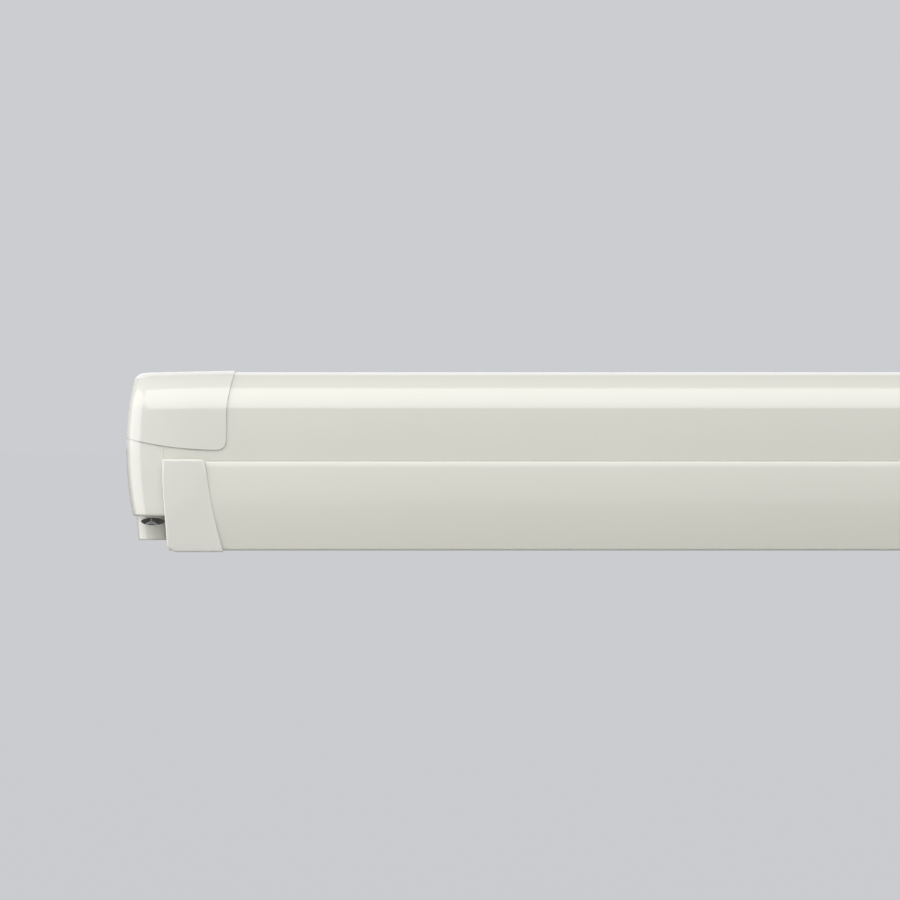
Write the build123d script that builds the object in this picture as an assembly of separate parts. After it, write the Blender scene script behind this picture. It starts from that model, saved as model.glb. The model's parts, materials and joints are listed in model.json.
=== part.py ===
from build123d import *
import math
import os

# A closed roll out awning for the side of a caravan or van.
# X runs along the awning, the front faces -Y, Z is up and the wall is the plane y = 0.
# z = 0 is the split line where the hood meets the lead rail.

# Whole awning
cap_reach = 1300.0
travel = 2000.0
fold_tilt = 8.0
overrun = 5.0
seat_gap = 0.3
running_clearance = 0.05
swing_gap = 0.5

# Extruded profiles
profile_wall = 2.0
hood_height = 60.0
hood_depth = 97.0
hood_radius = 26.0
hood_inset = 26.0
back_inset = 32.0
split_gap = 0.6
hood_lip_height = 4.0
hood_lip_depth = 7.0
hood_back_lip = 14.0
corner_step = 30
back_depth = 5.0
back_bottom = 52.0
tray_back = 48.0
tray_front_depth = 58.0
seal_depth = 4.0

# Wall brackets
bracket_width = 120.0
bracket_height = 100.0
bracket_spacing = 1000.0
bracket_hole_radius = 3.25
bracket_hole_x = 90.0
bracket_hole_z = 70.0

# Roller and canvas
roller_depth = 41.0
roller_height = 25.0
tube_radius = 24.0
tube_wall = 1.6
tube_inset = 38.0
canvas_inset = 85.0
canvas_radius = 30.4
canvas_thickness = 0.8
plug_length = 40.0
spindle_radius = 6.0
spindle_length = 24.0
keder_radius = 2.9

# Lead rail
rail_depth = 100.0
rail_height = 60.0
rail_inset = 30.0
rail_skin = 2.0
rail_edge_radius = 1.2
rail_web = 1.5
leg_channel = 17.0
rear_top = 20.0
groove_radius = 3.2
groove_wall = 1.4
groove_mouth = 2.4
bead_depth = 73.0
bead_height = 16.4

# Folding arms
shoulder_inset = 100.0
shoulder_depth = 20.8
shoulder_drop = 32.0
elbow_half_gap = 50.0
arm_spread = 26.0
arm_depth = 22.0
arm_height = 28.0
arm_wall = 2.2
arm_corner = 3.0
pin_radius = 5.0
pin_head_radius = 7.5
pin_head_height = 2.0
joint_block = 46.0
joint_setback = 14.0
joint_disc_radius = 9.6
tongue_height = 13.6
ear_radius = 10.0
bracket_ear = 3.0
shoulder_plate_half = 30.0
spring_radius = 8.5
spring_half = 260.0
spring_bore = 5.0

# Legs
leg_pivot_inset = 65.0
leg_depth = 16.0
leg_height = 28.0
leg_inner_depth = 12.0
leg_inner_height = 24.0
leg_wall = 1.5
leg_past_middle = 15.0
leg_inner_spare = 124.0
leg_centre_drop = 40.0
leg_pin_radius = 4.0
leg_head_length = 46.0
leg_clamp_length = 44.0
leg_foot_length = 24.0
lever_length = 52.0
lever_thickness = 3.0
lever_pin_radius = 1.5

# End caps
cap_bulge = 5.2
cap_wall = 2.2
cap_bottom = 37.0
cap_side_radius = 9.0
cap_top_radius = 7.0
cover_proud = 1.0
cover_width = 73.7
cover_sweep = 5.4
cover_corner = 6.0
seam_low = 7.0
seam_rise = 14.0
rail_cap_inset = 25.5
rail_cap_proud = 1.0
rail_cap_lip = 1.3
rail_cap_width = 41.0
rail_cap_corner = 7.0
rail_cap_lean = 3.0

# Crank drive
crank_inset = 16.0
wheel_teeth = 26
worm_starts = 4
wheel_pitch_radius = 19.0
worm_pitch_radius = 7.0
tooth_height = 1.15
tooth_backlash = 0.55
mesh_clearance = 0.25
wheel_width = 10.0
worm_length = 30.0
worm_shaft_radius = 4.0
boss_drop = 53.0
boss_top_radius = 8.6
boss_bottom_radius = 7.7
boss_wall = 1.4
boss_slot_width = 15.0
boss_slot_height = 5.2
boss_slot_drop = 40.2
eye_radius = 4.6
eye_wire = 1.2
gearbox_wall = 2.5
twist_step = 15.0
eye_sides = 20

# Places that follow from the sizes above
hood_half = cap_reach - hood_inset
back_half = cap_reach - back_inset
tube_half = cap_reach - tube_inset
canvas_half = cap_reach - canvas_inset
rail_half = cap_reach - rail_inset
rail_cap_reach = cap_reach - rail_cap_inset
crank_reach = cap_reach - crank_inset
shoulder_reach = cap_reach - shoulder_inset
elbow_reach = shoulder_reach - elbow_half_gap
leg_pivot_reach = cap_reach - leg_pivot_inset
leg_stowed = leg_pivot_reach + leg_past_middle
bracket_face = -back_depth
back_inner = -(back_depth + profile_wall)
roller_y = -roller_depth
centre_distance = wheel_pitch_radius + worm_pitch_radius + mesh_clearance
worm_y = roller_y - centre_distance
fold_frame = Pos(0, -shoulder_depth, -shoulder_drop) * Rot(fold_tilt, 0, 0)
front_channel_y = -rail_depth + rail_skin
web_y = front_channel_y + leg_channel
rear_channel_y = web_y + rail_web
rear_wall_y = rear_channel_y + leg_channel
rail_rear_y = rear_wall_y + rail_skin
rail_cap_step_share = 0.63


def block(x_span, y_span, z_span):
    """A box between two places on each axis."""
    sizes = [abs(high - low) for low, high in (x_span, y_span, z_span)]
    middles = [(low + high) / 2 for low, high in (x_span, y_span, z_span)]
    return Pos(*middles) * Box(*sizes)


def along_x(face, x_start, x_end):
    """A face drawn in (y, z), run along X."""
    return extrude(Plane.YZ.offset(x_start) * face, x_end - x_start)


def along_y(face, y_start, y_end):
    """A face drawn in (x, z), run along Y."""
    plane = Plane((0, y_start, 0), x_dir=(1, 0, 0), z_dir=(0, -1, 0))
    return extrude(plane * face, y_start - y_end)


def rod_x(radius, x_span, y, z):
    return along_x(Pos(y, z) * Circle(radius), x_span[0], x_span[1])


def rod_y(radius, x, y_span, z):
    return along_y(Pos(x, z) * Circle(radius), y_span[1], y_span[0])


def rod_z(radius, x, y, z_span):
    return Pos(x, y, z_span[0]) * extrude(Circle(radius), z_span[1] - z_span[0])


def outline(points):
    return make_face(Polyline(*points, close=True))


def mirrored(shape):
    """The same piece at the other end of the awning."""
    return mirror(shape, about=Plane.YZ)


def save(name, *shapes):
    """One node: one STEP file that holds one or more separate solids."""
    solids = [solid for shape in shapes for solid in shape.solids()]
    node = solids[0] if len(solids) == 1 else Compound(children=solids)
    export_step(node, os.path.join("parts", name + ".step"))


# Cassette
def hood_outer(proud, inset=0.0):
    """The hood's section from its back edge over the round front to the split line."""
    top = hood_height + proud - inset
    front = -hood_depth - proud + inset
    radius = hood_radius + proud - inset
    corner = radius * (1 - math.sqrt(0.5))
    back = bracket_face - inset
    with BuildLine() as line:
        Line((back, split_gap), (back, top))
        Line((back, top), (front + radius, top))
        ThreePointArc((front + radius, top), (front + corner, top - corner), (front, top - radius))
        Line((front, top - radius), (front, split_gap))
        Line((front, split_gap), (back, split_gap))
    return make_face(line.line)


def hood_sector(centre, start, end):
    """The space between two angles about the hood's arc centre, counted up from the front."""
    y, z = centre
    reach = 2 * hood_radius
    points = [(y, z)]
    for angle in (start, end):
        turn = math.radians(angle)
        points.append((y - reach * math.cos(turn), z + reach * math.sin(turn)))
    return along_x(outline(points), -cap_reach, cap_reach)


def hood_profile():
    """The hood, drawn as its top, its round corner in three stretches, its front and its lips."""
    top = hood_height - profile_wall
    front = -hood_depth + profile_wall
    centre = (-hood_depth + hood_radius, hood_height - hood_radius)
    skin = along_x(hood_outer(0.0), -hood_half, hood_half)
    skin -= along_x(hood_outer(0.0, profile_wall), -cap_reach, cap_reach)
    corner = [skin & hood_sector(centre, angle, angle + corner_step) for angle in range(0, 90, corner_step)]
    roof = block((-hood_half, hood_half), (centre[0], bracket_face), (top, hood_height))
    face = block((-hood_half, hood_half), (-hood_depth, front), (split_gap, centre[1]))
    back_lip = block((-back_half, back_half), (back_inner - profile_wall, back_inner), (top - hood_back_lip, top))
    front_lip = block((-back_half, back_half), (front, front + hood_lip_depth),
                      (hood_lip_height, hood_lip_height + profile_wall))
    return [roof, face, back_lip, front_lip, *corner]


def hood_seal():
    """The rubber strip under the hood's lip, which the closed rail lies against."""
    front = -hood_depth + profile_wall
    height = hood_lip_height - seat_gap
    strip = outline([
        (front, hood_lip_height),
        (front + seal_depth, hood_lip_height),
        (front + seal_depth * 0.7, hood_lip_height - height),
        (front + seal_depth * 0.3, hood_lip_height - height),
    ])
    return along_x(strip, -back_half, back_half)


def tray_z(y):
    """Height of the tray's upper face, which falls to the front with the arms."""
    return -tray_back + (y - back_inner) * math.tan(math.radians(fold_tilt))


def back_profile():
    """The wall side of the cassette and the sloping tray under the arms."""
    front = -tray_front_depth
    wall = block((-back_half, back_half), (back_inner, bracket_face), (-back_bottom, hood_height - profile_wall))
    tray = outline([
        (back_inner, tray_z(back_inner)),
        (front, tray_z(front)),
        (front, tray_z(front) - profile_wall),
        (back_inner, tray_z(back_inner) - profile_wall),
    ])
    return [wall, along_x(tray, -back_half, back_half)]


def wall_brackets():
    """Three plates on the wall, each with four screw holes, that carry the cassette."""
    plates = []
    for place in (-1, 0, 1):
        centre = place * bracket_spacing
        plate = block(
            (centre - bracket_width / 2, centre + bracket_width / 2),
            (bracket_face, 0),
            (-bracket_height / 2, bracket_height / 2),
        )
        for side in (-1, 1):
            for level in (-1, 1):
                plate -= rod_y(
                    bracket_hole_radius,
                    centre + side * bracket_hole_x / 2,
                    (bracket_face - overrun, overrun),
                    level * bracket_hole_z / 2,
                )
        plates.append(plate)
    return plates


def end_plate():
    """The plate that closes the profiles' ends and carries the roller's bearing."""
    inner = -back_half
    outer = inner - profile_wall
    roof = hood_height - profile_wall - seat_gap
    upper = along_x(hood_outer(0.0, profile_wall + seat_gap), outer, inner)
    upper -= block(
        (outer - overrun, inner + overrun),
        (bracket_face - profile_wall, overrun),
        (-overrun, hood_height + overrun),
    )
    upper -= block(
        (outer - overrun, inner + overrun),
        (-hood_depth, -hood_depth + profile_wall + hood_lip_depth + seat_gap),
        (-overrun, hood_lip_height + profile_wall + seat_gap),
    )
    lower = block((outer, inner), (-tray_front_depth, back_inner), (-tray_back, roof / 2))
    plate = upper + lower
    plate -= rod_x(tube_radius - tube_wall, (outer - overrun, inner + overrun), roller_y, roller_height)
    return plate


def end_outline(inset):
    """The end cap seen from the front: a bulging outer side and a rounded top corner."""
    top = hood_height + cover_proud - inset
    bottom = -cap_bottom + inset
    outer = -cap_reach + inset
    middle = (top + bottom) / 2
    shoulder = outer + cap_bulge
    radius = cap_top_radius
    tip = radius * (1 - math.sqrt(0.5))
    inner = -cap_reach + cover_width
    with BuildLine() as line:
        Line((inner, bottom), (inner, top))
        Line((inner, top), (shoulder + radius, top))
        ThreePointArc((shoulder + radius, top), (shoulder + tip, top - tip), (shoulder, top - radius))
        ThreePointArc((shoulder, top - radius), (outer, middle), (shoulder, bottom))
        Line((shoulder, bottom), (inner, bottom))
    return make_face(line.line)


def end_plan(inset, front):
    """The end cap seen from above: its front corner is round."""
    outer = -cap_reach + inset
    radius = cap_side_radius - inset
    tip = radius * (1 - math.sqrt(0.5))
    inner = -cap_reach + cover_width
    back = bracket_face - inset
    with BuildLine() as line:
        Line((inner, back), (inner, front))
        Line((inner, front), (outer + radius, front))
        ThreePointArc((outer + radius, front), (outer + tip, front + tip), (outer, front + radius))
        Line((outer, front + radius), (outer, back))
        Line((outer, back), (inner, back))
    return make_face(line.line)


def end_form(inset, proud):
    """The rounded block that an end cap fills, made where three outlines cross."""
    low = -cap_bottom - overrun
    high = hood_height + overrun
    plan = Pos(0, 0, low) * extrude(end_plan(inset, -hood_depth - proud), high - low)
    front = along_y(end_outline(inset), overrun, -hood_depth - overrun)
    section = along_x(hood_outer(proud), -cap_reach - overrun, -cap_reach + cover_width)
    below = block(
        (-cap_reach - overrun, -cap_reach + cover_width),
        (-hood_depth - proud, bracket_face),
        (low, split_gap),
    )
    return plan & front & (section + below)


def above_seam():
    """The space above the seam curve, up to the cover's sweeping inner edge."""
    top = hood_height + 2 * overrun
    upper = -cap_reach + cover_width
    lower = upper - cover_sweep
    tip = cover_corner * (1 - math.sqrt(0.5))
    flat = (lower - cover_corner, seam_low)
    rise = (-cap_reach + cover_width * 0.24, seam_low + seam_rise * 0.3)
    end = (-cap_reach - overrun, seam_low + seam_rise)
    with BuildLine() as line:
        Spline((upper, top), (lower, hood_height / 2), tangents=[(0, -1), (0, -1)])
        Line((lower, hood_height / 2), (lower, seam_low + cover_corner))
        ThreePointArc((lower, seam_low + cover_corner), (lower - tip, seam_low + tip), flat)
        Spline(flat, rise, end, tangents=[(-1, 0), (-1, 0.5)])
        Line(end, (end[0], top))
        Line((end[0], top), (upper, top))
    return along_y(make_face(line.line), 2 * overrun, -hood_depth - 2 * overrun)


def cap_shell(proud, skin):
    """An end cap's hollow form, open to the profiles and to the wall."""
    hollow = end_form(cap_wall, proud - skin)
    return end_form(0.0, proud) - hollow


def end_cover():
    cover = cap_shell(cover_proud, cover_proud) & above_seam()
    return cover - along_x(hood_outer(0.0), -hood_half, -cap_reach + cover_width + overrun)


def end_body(with_boss):
    """The lower end cap. The one on the drive side carries the crank's boss."""
    body = cap_shell(0.0, cap_wall) - above_seam()
    body -= block(
        (-rail_cap_reach - seat_gap * 2, 0),
        (-rail_depth - overrun, overrun),
        (-cap_bottom - overrun, hood_height),
    )
    if not with_boss:
        return body
    neck = Pos(-crank_reach, worm_y, -cap_bottom) * Rot(180, 0, 0)
    depth = boss_drop - cap_bottom
    body -= rod_z(boss_top_radius - boss_wall, -crank_reach, worm_y, (-cap_bottom - overrun, -cap_bottom + cap_wall))
    cup = Pos(0, 0, depth / 2) * Cone(boss_top_radius, boss_bottom_radius, depth)
    bore = Pos(0, 0, depth / 2) * Cylinder(boss_bottom_radius - boss_wall, depth + overrun)
    slot = Pos(-crank_reach, -boss_slot_drop) * Ellipse(boss_slot_width / 2, boss_slot_height / 2)
    return body + neck * (cup - bore) - along_y(slot, worm_y, -hood_depth)


# Roller and drive
def tooth_outline(pitch, teeth):
    """The outline across a toothed wheel or worm, thinned for backlash."""
    step = 2 * math.pi / teeth
    half = step / 4 - tooth_backlash / 2 / pitch
    points = []
    for tooth in range(teeth):
        for radius, share in ((pitch - tooth_height, -1.3), (pitch + tooth_height, -0.6),
                              (pitch + tooth_height, 0.6), (pitch - tooth_height, 1.3)):
            angle = tooth * step + half * share
            points.append((radius * math.cos(angle), radius * math.sin(angle)))
    return points


def twisted(points, width, twist):
    """A toothed outline run along Z with an even twist."""
    wire = Wire.make_polygon([Vector(x, y, 0) for x, y in points])
    return Solid.extrude_linear_with_rotation(wire, (0, 0, 0), (0, 0, width), twist)


def ruled_thread(points, width, twist):
    """A steep thread whose flanks are short flat facets, two to each stretch."""
    steps = math.ceil(twist / twist_step)
    rings = []
    for step in range(steps + 1):
        turn = math.radians(twist * step / steps)
        height = width * step / steps
        rings.append([
            Vector(x * math.cos(turn) - y * math.sin(turn), x * math.sin(turn) + y * math.cos(turn), height)
            for x, y in points
        ])
    faces = [Face(Wire.make_polygon(rings[0])), Face(Wire.make_polygon(rings[-1]))]
    for lower, upper in zip(rings, rings[1:]):
        for index in range(len(points)):
            after = (index + 1) % len(points)
            faces.append(Face(Wire.make_polygon([lower[index], lower[after], upper[after]])))
            faces.append(Face(Wire.make_polygon([lower[index], upper[after], upper[index]])))
    return Solid(Shell(faces))


lead_angle = math.atan(worm_starts * wheel_pitch_radius / wheel_teeth / worm_pitch_radius)


def worm_wheel():
    twist = math.degrees(wheel_width * math.tan(lead_angle) / wheel_pitch_radius)
    wheel = twisted(tooth_outline(wheel_pitch_radius, wheel_teeth), wheel_width, twist)
    wheel = Rot(0, 0, -twist / 2) * wheel
    wheel = Pos(-crank_reach - wheel_width / 2, roller_y, roller_height) * Rot(0, 90, 0) * wheel
    return wheel - rod_x(spindle_radius, (-cap_reach, -hood_half), roller_y, roller_height)


def worm_shaft():
    twist = math.degrees(worm_length / math.tan(lead_angle) / worm_pitch_radius)
    worm = ruled_thread(tooth_outline(worm_pitch_radius, worm_starts), worm_length, twist)
    worm = Pos(-crank_reach, worm_y, roller_height - worm_length / 2) * Rot(0, 0, -twist / 2) * worm
    top = roller_height + worm_length / 2 + overrun
    return worm + rod_z(worm_shaft_radius, -crank_reach, worm_y, (-cap_bottom, top))


def crank_eye():
    """The ring that the crank handle's hook catches, with eased edges and a short stem."""
    centre = -cap_bottom - eye_radius * 2
    ring = RegularPolygon(eye_radius + eye_wire, eye_sides) - RegularPolygon(eye_radius - eye_wire, eye_sides)
    ring = extrude(ring, eye_wire, both=True)
    ring = chamfer(ring.edges().filter_by(Plane.XY), eye_wire / 3)
    stem = rod_z(eye_wire, 0, 0, (eye_radius, 2 * eye_radius))
    return Pos(-crank_reach, worm_y, centre) * (Rot(90, 0, 0) * ring + stem)


def gearbox_body():
    """The casting round the worm and wheel, with bearings above and below the worm."""
    inner = -back_half - profile_wall
    outer = -crank_reach - wheel_width / 2 - gearbox_wall
    low = roller_height - wheel_pitch_radius - 2 * gearbox_wall
    high = roller_height + wheel_pitch_radius + 2 * gearbox_wall
    front = worm_y - worm_pitch_radius - 2 * gearbox_wall
    back = roller_y + wheel_pitch_radius + 2 * gearbox_wall
    casing = block((outer, inner), (front, back), (low, high))
    room = wheel_pitch_radius + gearbox_wall
    casing -= rod_x(room, (outer + gearbox_wall, inner + overrun), roller_y, roller_height)
    worm_room = worm_pitch_radius + tooth_height + swing_gap
    worm_span = (roller_height - worm_length / 2 - seat_gap, roller_height + worm_length / 2 + seat_gap)
    casing -= rod_z(worm_room, -crank_reach, worm_y, worm_span)
    bore = worm_shaft_radius + running_clearance
    return casing - rod_z(bore, -crank_reach, worm_y, (low - overrun, high + overrun))


def drive_plug():
    """The plug in the tube's end, with the spindle that the wheel turns."""
    end = -crank_reach - wheel_width / 2
    plug = rod_x(tube_radius - tube_wall, (-tube_half, -tube_half + plug_length), roller_y, roller_height)
    return plug + rod_x(spindle_radius, (end, -tube_half), roller_y, roller_height)


def idler_plug():
    plug = rod_x(tube_radius - tube_wall, (tube_half - plug_length, tube_half), roller_y, roller_height)
    return plug + rod_x(spindle_radius, (tube_half, tube_half + spindle_length), roller_y, roller_height)


def idler_bush():
    outer = tube_radius - tube_wall
    span = (back_half, tube_half + spindle_length)
    bush = rod_x(outer, span, roller_y, roller_height)
    return bush - rod_x(spindle_radius + running_clearance, span, roller_y, roller_height)


def tube_x(radius, bore, half):
    ring = Circle(radius) - Circle(bore)
    return along_x(Pos(roller_y, roller_height) * ring, -half, half)


def canopy_stretch():
    """The canvas between the roll's underside and the bead in the rail."""
    top = roller_height - canvas_radius - seat_gap
    reach = -bead_depth + keder_radius + seat_gap
    sheet = outline([
        (roller_y, top), (reach, -bead_height + canvas_thickness / 2),
        (reach, -bead_height - canvas_thickness / 2), (roller_y, top - canvas_thickness),
    ])
    return along_x(sheet, -canvas_half, canvas_half)


# Lead rail
def wall_x(half, y_span, z_span):
    return block((-half, half), y_span, z_span)


def lead_rail():
    """Two open channels side by side, each for a leg, and the groove for the canvas bead.

    The extrusion is drawn as its walls, which meet face to face."""
    top = -rear_top
    skin = wall_x(rail_half, (-rail_depth, front_channel_y), (-rail_height, 0))
    skin = fillet(skin.edges().filter_by(Axis.X).sort_by(Axis.Y)[:2], rail_edge_radius)
    front_top = wall_x(rail_half, (front_channel_y, rear_channel_y), (-rail_skin, 0))
    web = wall_x(rail_half, (web_y, rear_channel_y), (-rail_height, -rail_skin))
    rear_cover = wall_x(rail_half, (rear_channel_y, rail_rear_y), (top - rail_skin, top))
    rear_wall = wall_x(rail_half, (rear_wall_y, rail_rear_y), (-rail_height, top - rail_skin))
    keyhole = Pos(-bead_depth, -bead_height) * Circle(groove_radius + groove_wall)
    keyhole -= Pos(-bead_depth, -bead_height) * Circle(groove_radius)
    keyhole -= Pos(-bead_depth + groove_radius, -bead_height) * Rectangle(2 * groove_radius, groove_mouth)
    groove = along_x(keyhole, -rail_half, rail_half) - rear_cover
    return [skin, front_top, web, rear_cover, rear_wall, groove]


def rail_cap():
    """The cap on the rail's end, which wraps over its front in a sweeping edge."""
    front = -rail_depth - rail_cap_proud
    outer = -rail_cap_reach
    low = -rail_height - rail_cap_proud
    step = outer + rail_cap_width * rail_cap_step_share
    foot = outer + rail_cap_width
    lean = outer + rail_cap_lean
    corner = rail_cap_corner
    tip = corner * (1 - math.sqrt(0.5))
    with BuildLine() as line:
        Line((outer, rail_cap_lip), (step, rail_cap_lip))
        Line((step, rail_cap_lip), (step + 2 * rail_cap_lip, 0))
        Spline((step + 2 * rail_cap_lip, 0), (foot, low), tangents=[(0.15, -1), (0.3, -1)])
        Line((foot, low), (lean + corner, low))
        ThreePointArc((lean + corner, low), (lean + tip, low + tip), (lean, low + corner))
        Line((lean, low + corner), (outer, -rail_height / 4))
        Line((outer, -rail_height / 4), (outer, rail_cap_lip))
    beyond = (outer - overrun, foot + overrun)
    cap = along_y(make_face(line.line), rail_rear_y, front)
    cap -= block((-rail_half, foot + overrun), (-rail_depth, overrun), (low - overrun, rail_cap_lip + overrun))
    cap -= block(beyond, (-rail_depth, overrun), (-seat_gap, rail_cap_lip + overrun))
    return cap - block(beyond, (rear_channel_y, overrun), (-rear_top - rail_skin, overrun))


# Folding arms, drawn flat for the left arm and then tilted into the fold plane
def fold(shape):
    return fold_frame * shape


def arm_tube(x_start, x_end, y):
    section = RectangleRounded(arm_depth, arm_height, arm_corner)
    section -= RectangleRounded(arm_depth - 2 * arm_wall, arm_height - 2 * arm_wall, arm_corner / 2)
    return along_x(Pos(y, 0) * section, x_start, x_end)


def pin(x, y, half):
    return rod_z(pin_radius, x, y, (-half, half))


def knuckle(pivot_x, pivot_y, tube_y, direction, tongue, ears=False):
    """A tube's end fitting: a block that narrows to a tongue, or to two ears, round a pivot."""
    start = pivot_x + direction * joint_setback
    end = start + direction * joint_block
    half = arm_height / 2
    across = (tube_y - arm_depth / 2, tube_y + arm_depth / 2)
    radius = ear_radius if ears else joint_disc_radius
    body = block(sorted((start, end)), across, (-half, half))
    neck = outline([(pivot_x, pivot_y - radius), (pivot_x, pivot_y + radius), (start, across[1]), (start, across[0])])
    eye = rod_z(radius, pivot_x, pivot_y, (-half, half)) + Pos(0, 0, -half) * extrude(neck, arm_height)
    if ears:
        gap = tongue / 2 + seat_gap
        eye -= block((start, pivot_x + 2 * radius), (pivot_y - arm_height, pivot_y + arm_height), (-gap, gap))
    else:
        eye &= block((-cap_reach, cap_reach), (-cap_reach, cap_reach), (-tongue / 2, tongue / 2))
    bore = pin_radius if ears else pin_radius + running_clearance
    return body + eye - rod_z(bore, pivot_x, pivot_y, (-arm_height, arm_height))


def pivot_bracket(x, y, wall_side):
    """Two ears above and below a pivot, joined by a web outside the arm's end."""
    inner = arm_height / 2 + seat_gap
    outer = inner + bracket_ear
    reach = y + wall_side * shoulder_plate_half
    far = x - shoulder_plate_half
    span = sorted((y - wall_side * joint_disc_radius, reach))
    shape = block((far, x + joint_disc_radius), span, (-outer, outer))
    shape -= block((x - joint_setback, x + 2 * joint_setback), (y - arm_height * 2, y + arm_height * 2), (-inner, inner))
    shape = fold(shape - rod_z(pin_radius, x, y, (-arm_height, arm_height)))
    limit = back_inner if wall_side > 0 else rail_rear_y
    past = limit + wall_side * 2 * shoulder_plate_half
    return shape - block((far - overrun, x + arm_height), sorted((limit, past)), (-2 * rail_height, rail_height))


def tension_spring(middle):
    """The spring inside an upper arm that pulls the elbow open and the canvas tight."""
    ring = Circle(spring_radius) - Circle(spring_bore)
    return along_x(ring, middle - spring_half, middle + spring_half)


# Legs, drawn for the left end
def leg_block(x_start, x_end, y):
    return along_x(Pos(y, -leg_centre_drop) * RectangleRounded(leg_depth, leg_height, leg_wall), x_start, x_end)


def leg_ring(depth, height, x_start, x_end, y):
    ring = Rectangle(depth, height) - Rectangle(depth - 2 * leg_wall, height - 2 * leg_wall)
    return along_x(Pos(y, -leg_centre_drop) * ring, x_start, x_end)


def leg_parts(y):
    """One leg as it lies in its channel, from its pivot to its foot."""
    pivot = -leg_pivot_reach
    head_end = pivot + leg_head_length
    foot_end = pivot + leg_stowed
    clamp_end = foot_end - leg_foot_length
    clamp_start = clamp_end - leg_clamp_length
    across = (y - leg_depth / 2, y + leg_depth / 2)
    head = leg_block(pivot, head_end, y) + rod_y(leg_height / 2, pivot, across, -leg_centre_drop)
    head -= rod_y(leg_pin_radius + running_clearance, pivot, (-rail_depth, 0), -leg_centre_drop)
    tube = leg_ring(leg_depth, leg_height, head_end, clamp_start, y)
    clamp = leg_ring(leg_depth, leg_height, clamp_start, clamp_end, y)
    lever_x = (clamp_start + clamp_end) / 2
    bottom = -leg_centre_drop - leg_height / 2
    lug_radius = lever_thickness - seat_gap / 2
    lever_z = bottom - lever_thickness
    for side in (-1, 1):
        lug = sorted((y + side * leg_inner_depth / 3, y + side * leg_inner_depth / 2))
        ear = rod_y(lug_radius, lever_x, lug, lever_z)
        ear += block((lever_x - lug_radius, lever_x + lug_radius), lug, (lever_z, bottom))
        clamp += ear
    clamp += rod_y(lever_pin_radius, lever_x, (y - leg_inner_depth / 2, y + leg_inner_depth / 2), lever_z)
    wide = leg_inner_depth / 3 - seat_gap
    lever = rod_y(lug_radius - seat_gap, lever_x, (y - wide, y + wide), lever_z)
    lever += block((lever_x - lever_length, lever_x), (y - wide, y + wide),
                   (lever_z - lever_thickness / 2, lever_z + lever_thickness / 2))
    lever -= rod_y(lever_pin_radius + running_clearance, lever_x, (-rail_depth, 0), lever_z)
    inner = leg_ring(leg_inner_depth, leg_inner_height, head_end + leg_inner_spare, clamp_end + seat_gap, y)
    foot = leg_block(clamp_end + seat_gap, foot_end, y)
    pin_y = (y - leg_channel / 2, y + leg_channel / 2)
    return {"head": head, "tube": tube, "clamp": clamp, "lever": lever, "inner": inner, "foot": foot,
            "pin": rod_y(leg_pin_radius, pivot, pin_y, -leg_centre_drop)}


def both_ends(name, shape):
    save(name + "_left", shape)
    save(name + "_right", mirrored(shape))


def make_cassette():
    save("back_profile", *back_profile())
    save("hood_profile", *hood_profile())
    save("hood_seal", hood_seal())
    save("wall_brackets", *wall_brackets())
    both_ends("end_plate", end_plate())
    both_ends("end_cover", end_cover())
    save("end_body_left", end_body(True))
    save("end_body_right", mirrored(end_body(False)))
    save("gearbox_body", gearbox_body())
    save("idler_bush", idler_bush())
    both_ends("shoulder_bracket", pivot_bracket(-shoulder_reach, 0, 1))


def make_drive():
    save("roller_tube", tube_x(tube_radius, tube_radius - tube_wall, tube_half))
    save("canvas_roll", tube_x(canvas_radius, tube_radius, canvas_half))
    save("drive_plug", drive_plug())
    save("worm_wheel", worm_wheel())
    save("idler_plug", idler_plug())
    save("worm_shaft", worm_shaft())
    save("crank_eye", crank_eye())
    save("canopy_stretch", canopy_stretch())


def make_arms():
    elbow_x = -shoulder_reach + elbow_reach
    elbow_y = -arm_spread / 2
    block_reach = joint_setback + joint_block
    tube_span = (-shoulder_reach + block_reach, elbow_x - block_reach)
    pin_half = arm_height / 2 + seat_gap + bracket_ear
    head_half = arm_height / 2 + pin_head_height
    elbow_pin = pin(elbow_x, elbow_y, arm_height / 2)
    elbow_pin += rod_z(pin_head_radius, elbow_x, elbow_y, (arm_height / 2, head_half))
    elbow_pin += rod_z(pin_head_radius, elbow_x, elbow_y, (-head_half, -arm_height / 2))
    both_ends("upper_arm_tube", fold(arm_tube(*tube_span, 0)))
    both_ends("shoulder_knuckle", fold(knuckle(-shoulder_reach, 0, 0, 1, arm_height)))
    both_ends("elbow_fork", fold(knuckle(elbow_x, elbow_y, 0, -1, tongue_height, ears=True)))
    both_ends("elbow_pin", fold(elbow_pin))
    both_ends("tension_spring", fold(tension_spring((tube_span[0] + tube_span[1]) / 2)))
    both_ends("forearm_tube", fold(arm_tube(*tube_span, -arm_spread)))
    both_ends("elbow_knuckle", fold(knuckle(elbow_x, elbow_y, -arm_spread, -1, tongue_height)))
    both_ends("wrist_knuckle", fold(knuckle(-shoulder_reach, -arm_spread, -arm_spread, 1, arm_height)))
    both_ends("wrist_bracket", pivot_bracket(-shoulder_reach, -arm_spread, -1))
    shoulder_pin = fold(pin(-shoulder_reach, 0, pin_half))
    wrist_pin = fold(pin(-shoulder_reach, -arm_spread, pin_half))
    save("shoulder_pins", shoulder_pin, mirrored(shoulder_pin))
    save("wrist_pins", wrist_pin, mirrored(wrist_pin))


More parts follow.
